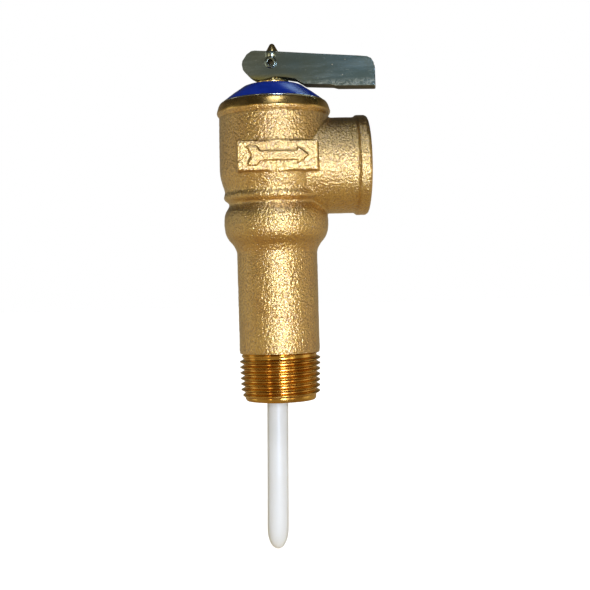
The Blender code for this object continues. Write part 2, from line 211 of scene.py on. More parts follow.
def apply_mods(ob):
    deps = bpy.context.evaluated_depsgraph_get()
    deps.update()
    me = bpy.data.meshes.new_from_object(ob.evaluated_get(deps))
    old = ob.data
    ob.modifiers.clear()
    ob.data = me
    me.name = ob.name
    bpy.data.meshes.remove(old)
    return ob


def boolean(ob, tool, op, solver='MANIFOLD'):
    m = ob.modifiers.new("b", 'BOOLEAN')
    m.operation, m.object, m.solver = op, tool, solver
    apply_mods(ob)
    bpy.data.objects.remove(tool, do_unlink=True)
    return ob


def cut(ob, *tools, solver='MANIFOLD'):
    for t in tools:
        boolean(ob, t, 'DIFFERENCE', solver)
    return ob


def union(ob, *tools, solver='MANIFOLD'):
    for t in tools:
        boolean(ob, t, 'UNION', solver)
    return ob


def merge_plain(ob, others):
    """Puts several closed meshes in one object, ready for a voxel remesh."""
    bm = bmesh.new()
    bm.from_mesh(ob.data)
    for o in others:
        bm.from_mesh(o.data)
    me = bpy.data.meshes.new(ob.name)
    bm.to_mesh(me)
    bm.free()
    ob.data = me
    for o in others:
        bpy.data.objects.remove(o, do_unlink=True)
    return ob


def remesh(ob, size, smooth=0, factor=0.5):
    m = ob.modifiers.new("r", 'REMESH')
    m.mode, m.voxel_size, m.adaptivity = 'VOXEL', size * MM, 0.0
    if smooth:
        s = ob.modifiers.new("s", 'SMOOTH')
        s.factor, s.iterations = factor, smooth
    return apply_mods(ob)


def soften(ob, width, angle=35, segments=2):
    m = ob.modifiers.new("bevel", 'BEVEL')
    m.width, m.segments, m.limit_method = width * MM, segments, 'ANGLE'
    m.angle_limit = math.radians(angle)
    m.use_clamp_overlap = True
    return apply_mods(ob)


def coords(me):
    co = np.empty(len(me.vertices) * 3, np.float32)
    me.vertices.foreach_get("co", co)
    return co.reshape(-1, 3)


def shade(ob, angle=35.0, flat_faces=False):
    ob.data.shade_smooth()
    ob.data.set_sharp_from_angle(angle=math.radians(angle))
    if flat_faces:
        # broad pressed faces keep their own normal, so only the small radii shade round
        m = ob.modifiers.new("wn", 'WEIGHTED_NORMAL')
        m.mode, m.weight, m.keep_sharp = 'FACE_AREA', 100, True
        apply_mods(ob)
    return ob


def dress(ob, mats, rule=None):
    """Gives an object its materials; rule(centres, normals) returns the slot of each face."""
    me = ob.data
    me.materials.clear()
    for m in mats:
        me.materials.append(m)
    n = len(me.polygons)
    idx = np.zeros(n, np.int32)
    if rule is not None:
        c = np.empty(n * 3, np.float32)
        me.polygons.foreach_get("center", c)
        nm = np.empty(n * 3, np.float32)
        me.polygons.foreach_get("normal", nm)
        idx = rule(c.reshape(-1, 3) / MM, nm.reshape(-1, 3)).astype(np.int32)
    me.polygons.foreach_set("material_index", idx)
    me.update()
    return ob


def finish_piece(ob, body, node, angle=35.0, flat_faces=False):
    shade(ob, angle, flat_faces)
    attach(ob, body)
    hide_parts(node)
    return ob


# --------------------------------------------------------------- materials
class Mat:
    """A small wrapper that keeps node code short."""

    def __init__(self, name):
        self.m = bpy.data.materials.new(name)
        self.m.use_nodes = True
        self.nt = self.m.node_tree
        self.b = self.nt.nodes["Principled BSDF"]
        self.tc = self.nt.nodes.new("ShaderNodeTexCoord")

    def new(self, kind, **kw):
        n = self.nt.nodes.new(kind)
        for k, v in kw.items():
            setattr(n, k, v)
        return n

    def wire(self, a, b):
        self.nt.links.new(a, b)

    def set(self, **kw):
        for k, v in kw.items():
            self.b.inputs[k.replace("_", " ")].default_value = v

    def noise(self, scale, detail=2.0, rough=0.5, distortion=0.0, vector=None, stretch=None):
        n = self.new("ShaderNodeTexNoise")
        n.inputs["Scale"].default_value = scale
        n.inputs["Detail"].default_value = detail
        n.inputs["Roughness"].default_value = rough
        n.inputs["Distortion"].default_value = distortion
        src = vector if vector is not None else self.tc.outputs["Object"]
        if stretch is not None:
            mp = self.new("ShaderNodeMapping")
            mp.inputs["Scale"].default_value = stretch
            self.wire(src, mp.inputs["Vector"])
            src = mp.outputs["Vector"]
        self.wire(src, n.inputs["Vector"])
        return n.outputs["Fac"]

    def voronoi(self, scale, feature='F1', out="Distance", randomness=1.0, vector=None):
        n = self.new("ShaderNodeTexVoronoi", feature=feature)
        n.inputs["Scale"].default_value = scale
        n.inputs["Randomness"].default_value = randomness
        self.wire(vector if vector is not None else self.tc.outputs["Object"], n.inputs["Vector"])
        return n.outputs[out]

    def ramp(self, fac, stops, interpolation='LINEAR'):
        n = self.new("ShaderNodeValToRGB")
        cr = n.color_ramp
        cr.interpolation = interpolation
        while len(cr.elements) < len(stops):
            cr.elements.new(0.5)
        for e, (p, c) in zip(cr.elements, stops):
            e.position = p
            e.color = (*c, 1.0) if len(c) == 3 else c
        self.wire(fac, n.inputs["Fac"])
        return n.outputs["Color"]

    def level(self, fac, lo, hi, a=0.0, b=1.0):
        n = self.new("ShaderNodeMapRange")
        n.inputs["From Min"].default_value = lo
        n.inputs["From Max"].default_value = hi
        n.inputs["To Min"].default_value = a
        n.inputs["To Max"].default_value = b
        self.wire(fac, n.inputs["Value"])
        return n.outputs["Result"]

    def math(self, op, a, b=None, clamp=False):
        n = self.new("ShaderNodeMath", operation=op, use_clamp=clamp)
        for i, v in enumerate((a, b)):
            if v is None:
                continue
            if isinstance(v, (int, float)):
                n.inputs[i].default_value = v
            else:
                self.wire(v, n.inputs[i])
        return n.outputs[0]

    def mix(self, fac, a, b, blend='MIX'):
        n = self.new("ShaderNodeMix", data_type='RGBA', blend_type=blend)
        for sock, v in ((n.inputs[0], fac), (n.inputs[6], a), (n.inputs[7], b)):
            if isinstance(v, (int, float)):
                sock.default_value = v
            elif isinstance(v, tuple):
                sock.default_value = (*v, 1.0)
            else:
                self.wire(v, sock)
        return n.outputs[2]

    def bump(self, height, strength, distance, chain=None):
        n = self.new("ShaderNodeBump")
        n.inputs["Strength"].default_value = strength
        n.inputs["Distance"].default_value = distance
        self.wire(height, n.inputs["Height"])
        if chain is not None:
            self.wire(chain, n.inputs["Normal"])
        return n.outputs["Normal"]

    def color(self, c):
        self.wire(c, self.b.inputs["Base Color"])

    def rough(self, r):
        self.wire(r, self.b.inputs["Roughness"])

    def normal(self, n):
        self.wire(n, self.b.inputs["Normal"])


def cast_bronze():
    m = Mat("cast_bronze")
    m.set(Metallic=1.0, Coat_Weight=1.0, Coat_Roughness=0.28, Coat_IOR=2.0)
    grain = m.noise(1500, 2.0, 0.55, 0.2)
    fine = m.noise(3300, 2.0, 0.6)
    blotch = m.noise(95, 3.0, 0.55)
    cloud = m.noise(33, 2.0, 0.5)
    pits = m.ramp(grain, [(0.38, (0, 0, 0)), (0.52, (1, 1, 1))], 'EASE')
    warm = m.mix(m.level(blotch, 0.36, 0.66), (0.62, 0.335, 0.048), (0.73, 0.445, 0.085))
    olive = m.mix(m.level(cloud, 0.46, 0.70, 0.0, 0.5), warm, (0.52, 0.38, 0.09))
    m.color(m.mix(m.level(pits, 0.0, 1.0, 0.60, 0.0), olive, (0.36, 0.165, 0.025)))
    m.rough(m.math('ADD', m.level(grain, 0.3, 0.7, 0.38, 0.27), m.level(blotch, 0.3, 0.7, 0.0, 0.06)))
    n1 = m.bump(grain, 1.0, 0.00036)
    n2 = m.bump(fine, 0.5, 0.00012, n1)
    m.normal(n2)
    m.wire(n1, m.b.inputs["Coat Normal"])
    return m.m


def turned_metal(name, light, dark, rough=(0.16, 0.30), axis="Z", lines=9000, strength=0.10, stain=None):
    """Lathe-turned metal: fine rings round the axis, a little stain and handling wear."""
    m = Mat(name)
    m.set(Metallic=1.0)
    sep = m.new("ShaderNodeSeparateXYZ")
    m.wire(m.tc.outputs["Object"], sep.inputs[0])
    if axis == "Z":
        r2 = m.math('ADD', m.math('POWER', sep.outputs[0], 2.0), m.math('POWER', sep.outputs[1], 2.0))
        along = sep.outputs[2]
    else:
        dz = m.math('SUBTRACT', sep.outputs[2], OUTLET_Z * MM)
        r2 = m.math('ADD', m.math('POWER', sep.outputs[1], 2.0), m.math('POWER', dz, 2.0))
        along = sep.outputs[0]
    comb = m.new("ShaderNodeCombineXYZ")
    m.wire(m.math('SQRT', r2), comb.inputs[0])
    m.wire(along, comb.inputs[2])
    rings = m.noise(lines, 2.0, 0.6, vector=comb.outputs[0])
    blotch = m.noise(160, 3.0, 0.6)
    scuff = m.noise(900, 2.0, 0.6)
    col = m.mix(m.level(blotch, 0.35, 0.65), dark, light)
    if stain is not None:
        col = m.mix(m.level(m.noise(60, 3.0, 0.6, 0.5), 0.52, 0.72, 0.0, 0.7), col, stain)
    m.color(col)
    m.rough(m.math('ADD', m.level(blotch, 0.3, 0.7, rough[0], rough[1]), m.level(scuff, 0.45, 0.7, 0.0, 0.06)))
    m.normal(m.bump(rings, strength, 0.00006))
    return m.m


def zinc_steel():
    m = Mat("zinc_steel")
    m.set(Metallic=1.0)
    drag = m.noise(300, 4.0, 0.6, 0.2, stretch=(0.22, 0.22, 1.3))
    speck = m.voronoi(300, 'F1', "Distance")
    cloud = m.noise(60, 2.0, 0.5, 0.3)
    fine = m.noise(2600, 3.0, 0.6)
    scuff = m.noise(700, 3.0, 0.7, 1.2, stretch=(0.6, 0.6, 1.0))
    sep = m.new("ShaderNodeSeparateXYZ")
    m.wire(m.tc.outputs["Object"], sep.inputs[0])
    along = m.level(sep.outputs[0], 0.000, 0.026)
    olive = m.ramp(cloud, [(0.32, (0.25, 0.32, 0.33)), (0.52, (0.30, 0.33, 0.27)), (0.72, (0.34, 0.33, 0.20))])
    steel = m.ramp(cloud, [(0.30, (0.22, 0.38, 0.50)), (0.50, (0.23, 0.36, 0.42)), (0.72, (0.27, 0.36, 0.34))])
    col = m.mix(along, olive, steel)
    # chromate collects yellow under the cam; the grip is scuffed along its lower edge
    drip = m.math('MULTIPLY', m.level(sep.outputs[2], 0.1062, 0.1048), m.level(sep.outputs[0], 0.010, 0.004))
    col = m.mix(m.math('MULTIPLY', drip, m.level(cloud, 0.40, 0.60, 0.35, 0.9)), col, (0.62, 0.54, 0.14))
    low = m.math('MULTIPLY', m.level(sep.outputs[2], 0.1036, 0.1022), m.level(sep.outputs[0], 0.0085, 0.0115))
    col = m.mix(m.math('MULTIPLY', low, m.level(scuff, 0.44, 0.60, 0.10, 0.85)), col, (0.86, 0.98, 0.98))
    col = m.mix(m.level(drag, 0.50, 0.74, 0.0, 0.30), col, (0.52, 0.58, 0.56))
    col = m.mix(m.level(scuff, 0.64, 0.72, 0.0, 0.40), col, (0.75, 0.82, 0.80))
    col = m.mix(m.level(speck, 0.045, 0.085, 0.9, 0.0), col, (0.95, 0.95, 0.90))
    m.color(col)
    m.rough(m.math('ADD', m.level(drag, 0.35, 0.7, 0.15, 0.22), m.level(fine, 0.4, 0.7, 0.0, 0.05)))
    n = m.bump(drag, 0.10, 0.00008)
    n = m.bump(fine, 0.14, 0.00004, n)
    m.normal(m.bump(scuff, 0.10, 0.00006, n))
    return m.m


def blue_enamel():
    m = Mat("blue_enamel")
    m.set(Metallic=0.0, Coat_Weight=0.0, Specular_IOR_Level=0.16)
    cloud = m.noise(140, 3.0, 0.5)
    peel = m.noise(700, 1.5, 0.5)
    scr = m.noise(1500, 2.0, 0.6, stretch=(1.0, 0.12, 0.6))
    col = m.mix(m.level(cloud, 0.35, 0.65), (0.003, 0.016, 0.17), (0.005, 0.026, 0.27))
    m.color(m.mix(m.level(scr, 0.66, 0.74, 0.0, 0.35), col, (0.10, 0.14, 0.42)))
    m.rough(m.level(cloud, 0.3, 0.7, 0.16, 0.26))
    m.normal(m.bump(peel, 0.05, 0.00006))
    return m.m


def satin_metal(name, light, dark, rough=(0.22, 0.34), scale=500):
    m = Mat(name)
    m.set(Metallic=1.0)
    blotch = m.noise(scale * 0.25, 3.0, 0.6)
    fine = m.noise(scale * 4, 2.0, 0.6)
    m.color(m.mix(m.level(blotch, 0.35, 0.65), dark, light))
    m.rough(m.level(fine, 0.3, 0.7, rough[0], rough[1]))
    m.normal(m.bump(fine, 0.12, 0.00005))
    return m.m


def white_polymer():
    m = Mat("white_polymer")
    m.set(Metallic=0.0, Specular_IOR_Level=0.45)
    cloud = m.noise(90, 2.0, 0.5)
    fine = m.noise(2600, 2.0, 0.5)
    draw = m.noise(900, 2.0, 0.5, stretch=(1.0, 1.0, 0.05))
    m.color(m.mix(m.level(cloud, 0.35, 0.65), (0.90, 0.88, 0.84), (0.93, 0.915, 0.88)))
    m.rough(m.level(fine, 0.3, 0.7, 0.30, 0.40))
    n = m.bump(draw, 0.05, 0.00005)
    m.normal(m.bump(fine, 0.05, 0.00003, n))
    return m.m


def soft_matt(name, light, dark, rough=(0.55, 0.75), scale=600, bump=0.3):
    m = Mat(name)
    m.set(Metallic=0.0)
    a = m.noise(scale, 3.0, 0.6)
    b = m.noise(scale * 4, 2.0, 0.6)
    m.color(m.mix(m.level(a, 0.35, 0.65), dark, light))
    m.rough(m.level(b, 0.3, 0.7, rough[0], rough[1]))
    m.normal(m.bump(b, bump, 0.00006))
    return m.m


CAST = cast_bronze()
RIM = turned_metal("turned_bronze", (0.74, 0.47, 0.15), (0.60, 0.36, 0.10), (0.20, 0.32), lines=7000, strength=0.10)
THREAD = turned_metal("thread_brass", (0.72, 0.44, 0.11), (0.54, 0.29, 0.06), (0.14, 0.24), lines=9000, strength=0.08,
                      stain=(0.36, 0.19, 0.05))
BORE = turned_metal("bored_bronze", (0.66, 0.45, 0.17), (0.50, 0.32, 0.10), (0.26, 0.40), lines=6000, strength=0.2,
                    stain=(0.30, 0.20, 0.08))
SOCKET = turned_metal("socket_bronze", (0.66, 0.45, 0.17), (0.50, 0.32, 0.10), (0.22, 0.36), "X", 6000, 0.2,
                      (0.30, 0.20, 0.08))
BRASS = turned_metal("turned_brass", (0.82, 0.62, 0.26), (0.68, 0.46, 0.15), (0.16, 0.28), lines=8000, strength=0.12)
ZINC = zinc_steel()
BLUE = blue_enamel()
EDGE = satin_metal("plate_edge", (0.80, 0.82, 0.82), (0.62, 0.66, 0.68), (0.16, 0.26))
SPRING = satin_metal("spring_steel", (0.50, 0.51, 0.52), (0.36, 0.37, 0.39), (0.22, 0.34))
# painted shade: near-black metal for the inside of the hollow rivet, where shade falls
SHADE = satin_metal("rivet_bore_painted_shade", (0.06, 0.06, 0.05), (0.03, 0.03, 0.028), (0.4, 0.55))
WHITE = white_polymer()
RUBBER = soft_matt("black_rubber", (0.035, 0.035, 0.036), (0.015, 0.015, 0.016))
COPPER = satin_metal("copper", (0.86, 0.46, 0.30), (0.72, 0.34, 0.20), (0.2, 0.32))
WAX = soft_matt("wax", (0.76, 0.66, 0.42), (0.62, 0.52, 0.30), (0.4, 0.6))
FIBRE = soft_matt("gasket_fibre", (0.22, 0.18, 0.14), (0.10, 0.08, 0.06), (0.7, 0.9))


# -------------------------------------------------------------------- body
def cast_height(co):
    """Small unevenness of a sand-cast skin, in millimetres, at each point."""
    out = np.empty(len(co))
    for i, (x, y, z) in enumerate(co):
        v = Vector((float(x), float(y), float(z))) * 1000.0
        wave = noise.noise(v * 0.16)
        grain = noise.noise(v * 0.95 + Vector((7.1, 3.3, 9.7)))
        fine = noise.noise(v * 1.7 + Vector((1.7, 8.1, 2.9)))
        out[i] = 0.05 * wave + 0.055 * grain + 0.055 * fine
    return out


def make_body():
    top = 92.6
    skin = fillet([(SHANK_R, 15.7), (SHANK_R, 48.3), (13.5, 49.4), (14.2, 50.8), (15.3, 52.0),
                   (16.2, 53.3), (16.75, 54.8), (17.05, 57.4), (16.9, 60.0), (16.5, 61.5),
                   (15.65, 62.8), (15.25, 63.6), (15.3, 64.3), (16.0, 64.9), (16.75, 65.4), (16.95, 66.0),
                   (16.9, 66.9), (16.45, 67.6), (16.7, 68.8), (17.4, 71.0), (17.95, 73.2), (18.05, 75.0),
                   (18.0, 82.0), (17.85, top)], 0.9, 3, closed=False)
    cast = turned("body_casting", [(0, 15.7)] + skin + [(0, top)], 192)
    neck = turned("t", [(0, 3.0), (NECK_R, 3.0), (NECK_R, 25.7), (NECK_R + 0.2, 26.15), (RIM_R, 26.5),
                        (RIM_R, 29.4), (15.85, 30.0), (15.6, 30.8), (0, 30.8)], 160, matrix=TO_X)
    x, z0, z1 = PAD_X, PAD_Z0, PAD_Z1
    pad = [(-x, z0), (x, z0), (x, z1), (-x, z1)]
    zc = 0.5 * (z0 + z1)
    arrow = [(-9.45, -2.9), (-6.6, -2.9), (-5.5, -1.35), (6.2, -1.35), (6.2, -2.45), (9.45, 0.0),
             (6.2, 2.45), (6.2, 1.35), (-5.5, 1.35), (-6.6, 2.9), (-9.45, 2.9), (-8.1, 0.0)]
    merge_plain(cast, [neck, extruded("t", pad, -PAD_Y, -9.0), extruded("t", pad, 9.0, PAD_Y)])
    size = 0.27
    # first pass rounds the valleys where neck, pads and barrel meet, as in a mould
    remesh(cast, size, 4 if size < 0.4 else 2, 0.5)
    mark = extruded("t", [(u, zc + v) for u, v in arrow], -PAD_Y - 0.50, -PAD_Y + 1.2)
    merge_plain(cast, [mark])
    remesh(cast, size, 1, 0.4)
    me = cast.data
    co = coords(me)
    nrm = np.empty(len(me.vertices) * 3, np.float32)
    me.vertices.foreach_get("normal", nrm)
    nrm = nrm.reshape(-1, 3)
    h = cast_height(co)
    z = co[:, 2] / MM
    fade = np.clip((top - z) / 0.8, 0, 1) * np.clip((z - 15.7) / 0.8, 0, 1)
    co = co + nrm * (h * fade * MM)[:, None]
    me.vertices.foreach_set("co", co.astype(np.float32).ravel())
    me.update()

    # rolled lip and the core of the male thread are turned, so they are added crisp
    lip = turned("t", [(0, 91.4), (17.2, 91.4), (17.72, 92.15), (18.1, 92.7), (18.42, 93.2), (18.57, 93.65),
                       (18.55, 94.0), (18.4, 94.5), (18.2, 95.2), (17.95, 95.9), (17.68, 96.45), (17.38, 96.85),
                       (17.15, 97.02), (16.98, 97.05), (0, 97.05)], 192)
    union(cast, lip)
    root0 = CREST_R0 - THREAD_H
    core = turned("t", [(0, 0.0), (root0 - 0.35, 0.0), (root0 + 0.05, 0.55), (root0 + 15.0 * TAPER, 15.0),
                        (12.4, 15.25), (12.9, 15.4), (13.05, 15.6), (12.9, 16.4), (0, 16.4)], 192)
    union(cast, core)

    def male(z, f):
        root = CREST_R0 - THREAD_H + z * TAPER
        crest = root + THREAD_H * f
        return [(root - 0.25, -0.84), (root + 0.02, -0.80), (crest - 0.06, -0.13), (crest, -0.05),
                (crest, 0.05), (crest - 0.06, 0.13), (root + 0.02, 0.80), (root - 0.25, 0.84)]

    union(cast, helix_ridge("t", 0.9, 15.1, 72, male))
    cut(cast, turned("t", [
        (0, -1), (10.7, -1), (9.5, 0.5), (9.5, 38.7), (10.3, 38.7), (10.3, 39.9), (9.5, 39.9),
        (9.5, 43.9), (7.5, 43.95), (7.5, 59.6), (7.9, SEAT_Z), (8.7, SEAT_Z), (8.9, 59.8),
        (9.2, 57.6), (12.4, 57.6), (12.4, 68.5), (14.0, 70.0), (14.0, 93.0), (17.5, 93.0),
        (17.5, 95.9), (16.95, 96.1), (16.95, 98.0), (0, 98.0)], 144))
    face = [(OUTLET_X, 50), (40, 50), (40, 100), (OUTLET_X, 100)]
    cut(cast, extruded("t", face, -25, 25))
    cut(cast, turned("t", [(0, 0), (11.4, 0), (11.4, 15.2), (12.75, 16.0), (13.2, 29.4), (13.9, 30.6),
                           (0, 30.6)], 144, matrix=TO_X))

    def female(z, f):
        wall = 12.75 + (z - 16.0) * (0.45 / 13.4)
        crest = wall - 1.15 * f
        return [(wall + 0.4, -0.84), (wall - 0.02, -0.80), (crest + 0.06, -0.13), (crest, -0.05),
                (crest, 0.05), (crest + 0.06, 0.13), (wall - 0.02, 0.80), (wall + 0.4, 0.84)]

    union(cast, helix_ridge("t", 17.2, 28.6, 60, female, matrix=TO_X))

    def rule(c, n):
        r = np.hypot(c[:, 0], c[:, 1])
        ro = np.hypot(c[:, 1], c[:, 2] - OUTLET_Z)
        idx = np.zeros(len(c))
        idx[(c[:, 2] > 93.6) & (r > 16.4)] = 1
        idx[c[:, 2] < 15.55] = 2
        inner = (r < 14.06) & (c[:, 0] < 14.2) & (c[:, 2] < 93.2) & ~((np.abs(c[:, 1]) > 14.1))
        toward = (c[:, 0] * n[:, 0] + c[:, 1] * n[:, 1]) <= 1e-6
        idx[inner & (r < np.where(c[:, 2] > 57.5, 14.03, 10.6)) & (c[:, 2] > 16)] = 3
        idx[(c[:, 2] <= 16) & (r < 10.6) & toward & (c[:, 2] > 0.02)] = 3
        idx[(c[:, 0] > 9.0) & (ro < 13.95)] = 4
        idx[c[:, 0] > 29.97] = 4
        return idx

    dress(cast, [CAST, RIM, THREAD, BORE, SOCKET], rule)
    return finish_piece(cast, "valve", "body", 38)


# ------------------------------------------------------------ turned pieces
def piece(name, profile, radius, mat, body, node, segs=96, matrix=None, rule=None, mats=None, angle=35):
    ob = turned(name, profile, segs, radius, matrix)
    dress(ob, mats or [mat], rule)
    return finish_piece(ob, body, node, angle)


def make_cap():
    piece("fibre_gasket", [(14.3, 93.1), (17.2, 93.1), (17.2, 93.7), (14.3, 93.7)], 0.12, FIBRE, "valve",
          "bonnet_gasket")
    piece("spring_bonnet", [(4.0, 93.6), (8.2, 93.6), (8.2, 95.6), (11.4, 95.6), (11.4, 93.9), (17.3, 93.9),
                            (17.3, 95.6), (16.5, 95.8), (16.2, 96.4), (8.2, 101.62), (8.0, 101.7),
                            (4.0, 101.7)], 0.2, BRASS, "valve", "bonnet")

    def edge(c, n):
        r = np.hypot(c[:, 0], c[:, 1])
        return ((r > 16.1) | (c[:, 2] < 96.9)).astype(int)

    piece("blue_plate", [(4.3, 102.25), (8.4, 102.25), (9.4, 101.9), (10.7, 101.0), (13.0, 99.45), (16.48, 96.8),
                         (16.78, 97.2), (16.45, 97.52), (13.25, 99.95), (11.0, 101.45), (9.7, 102.35),
                         (8.6, 102.75), (4.3, 102.75)], 0.14, BLUE, "valve", "label_plate",
          segs=160, rule=edge, mats=[BLUE, EDGE])
    piece("stem_collar", [(2.2, 93.8), (3.9, 93.8), (3.9, 103.05), (5.4, 103.05), (5.4, 103.85), (5.05, 104.2),
                          (2.2, 104.2), (2.2, 99.3), (3.05, 99.3), (3.05, 97.5), (2.2, 97.5)], 0.15, BRASS,
          "valve", "stem_bushing")
    ring = [(2.57 + 0.4 * math.cos(2 * math.pi * k / 20), 98.4 + 0.4 * math.sin(2 * math.pi * k / 20))
            for k in range(20)]
    piece("o_ring", ring, 0.0, RUBBER, "valve", "stem_seal", angle=80)


def make_spring():
    z0, z1 = SPRING_Z[0] + WIRE_R, SPRING_Z[1] - WIRE_R
    turns, dead, dead_pitch = 7.0, 1.0, 2.35
    live = (z1 - z0 - 2 * dead * dead_pitch) / (turns - 2 * dead)

    def height(t):
        if t < dead:
            return z0 + t * dead_pitch
        if t > turns - dead:
            return z1 - (turns - t) * dead_pitch
        return z0 + dead * dead_pitch + (t - dead) * live

    steps, sides = 48, 14
    rings = []
    for i in range(int(turns * steps) + 1):
        t = i / steps
        a = 2 * math.pi * t
        # pitch changes gently between the closed end turns and the live ones
        z = 0.25 * height(max(0, t - 0.12)) + 0.5 * height(t) + 0.25 * height(min(turns, t + 0.12))
        c = Vector((SPRING_R * math.cos(a), SPRING_R * math.sin(a), z))
        rad = Vector((math.cos(a), math.sin(a), 0))
        ring = []
        for k in range(sides):
            b = 2 * math.pi * k / sides
            p = c + rad * WIRE_R * math.cos(b) + Vector((0, 0, WIRE_R * math.sin(b)))
            p.z = min(max(p.z, SPRING_Z[0]), SPRING_Z[1])
            ring.append(p)
        rings.append(ring)
    ob = swept("valve_spring", rings)
    dress(ob, [SPRING])
    shade(ob, 60)
    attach(ob, "valve")
    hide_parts("spring")
    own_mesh(ob)


def make_disc():
    holder = turned("disc_carrier", [
        (0, 65.3), (2.6, 65.3), (2.6, 62.7), (9.5, 62.7), (9.5, 60.7), (10.9, 60.7), (10.9, 62.6),
        (11.9, 62.6), (11.9, 64.8), (8.0, 64.8), (8.0, 72.0), (7.5, 72.5), (4.1, 72.5), (4.1, 70.8),
        (5.0, 70.8), (5.0, 69.6), (4.1, 69.6), (4.1, 66.3), (0, 66.3)], 96, 0.15)
    for k in range(4):
        a = math.pi / 4 + k * math.pi / 2
        cut(holder, turned("t", [(0, 59), (2.1, 59), (2.1, 66), (0, 66)], 40,
                           matrix=Matrix.Translation((13.1 * math.cos(a) * MM, 13.1 * math.sin(a) * MM, 0))))
    dress(holder, [BRASS])
    finish_piece(holder, "disc", "disc_holder")
    piece("rubber_washer", [(2.8, 60.15), (9.3, 60.15), (9.3, 62.4), (2.8, 62.4)], 0.25, RUBBER, "disc",
          "seat_washer")
    screw = turned("washer_screw", [(0, 58.8), (5.8, 58.8), (6.2, 59.2), (6.2, 59.85), (2.4, 59.85),
                                    (2.4, 64.9), (0, 64.9)], 80, 0.12)
    cut(screw, extruded("t", [(-8, 57), (8, 57), (8, 59.25), (-8, 59.25)], -0.6, 0.6))
    dress(screw, [BRASS])
    finish_piece(screw, "disc", "disc_screw")
    c_ring("circlip_stem", [(2.6, 69.8), (4.8, 69.8), (4.8, 70.55), (2.6, 70.55)], "disc", "stem_snap_ring")


def c_ring(name, section, body, node):
    gap = math.radians(32)
    sec = fillet(section, 0.1, 2)
    rings = []
    for i in range(81):
        a = gap + (2 * math.pi - 2 * gap) * i / 80
        rings.append([(r * math.cos(a), r * math.sin(a), z) for r, z in sec])
    ob = swept(name, rings)
    dress(ob, [SPRING])
    finish_piece(ob, body, node)


def cross_hole(r, segs=48):
    m = Matrix.Translation((0, 0, PIN_Z * MM)) @ Matrix.Rotation(LEVER_YAW, 4, 'Z') \
        @ Matrix.Rotation(math.pi / 2, 4, 'X')
    return turned("t", [(0, -8), (r, -8), (r, 8), (0, 8)], segs, matrix=m)


def make_stem():
    stem = turned("valve_stem", [(0, 66.5), (3.7, 66.5), (3.95, 66.8), (3.95, 69.2), (2.05, 69.3),
                                 (2.05, 113.9), (0.8, 116.15), (0.45, 116.5), (0, 116.5)], 64, 0.18)
    cut(stem, cross_hole(1.5))
    dress(stem, [BRASS])
    finish_piece(stem, "stem", "stem")


# ------------------------------------------------------------------- lever
# painted shade for the lever's downward faces: dark and nearly matt, standing in for the shade that falls there
ZINC_PAINTED_SHADE = soft_matt("zinc_underside_painted_shade", (0.09, 0.085, 0.05), (0.025, 0.027, 0.02), (0.4, 0.55), 1400)
ZINC_PAINTED_SHADE.node_tree.nodes["Principled BSDF"].inputs["Specular IOR Level"].default_value = 0.08


def lever_outline(n=24):
    pts = []
    for i in range(n + 1):
        p = math.radians(58.0 * i / n)
        h = CAM_H + CAM_K * p
        pts.append((-h * math.sin(p) - CAM_K * math.cos(p), -h * math.cos(p) + CAM_K * math.sin(p)))
    corners = [(-9.53, -0.2), (-9.35, 0.9), (-7.85, 3.05), (-6.3, 4.05), (-5.2, 4.15), (3.0, 3.38),
               (16.8, 1.88), (28.6, 0.66), (31.3, 0.3), (32.6, -0.35), (33.4, -1.8),
               (33.45, -9.2), (21.3, -8.65), (19.7, -8.2), (10.8, -7.55), (7.8, -5.6), (4.6, -4.95),
               (1.1, -4.6), (-1.3, -5.15), (-2.6, -5.48)]
    return pts + fillet([pts[-1]] + corners + [pts[0]], 0.5, 3, closed=False)[1:-1]


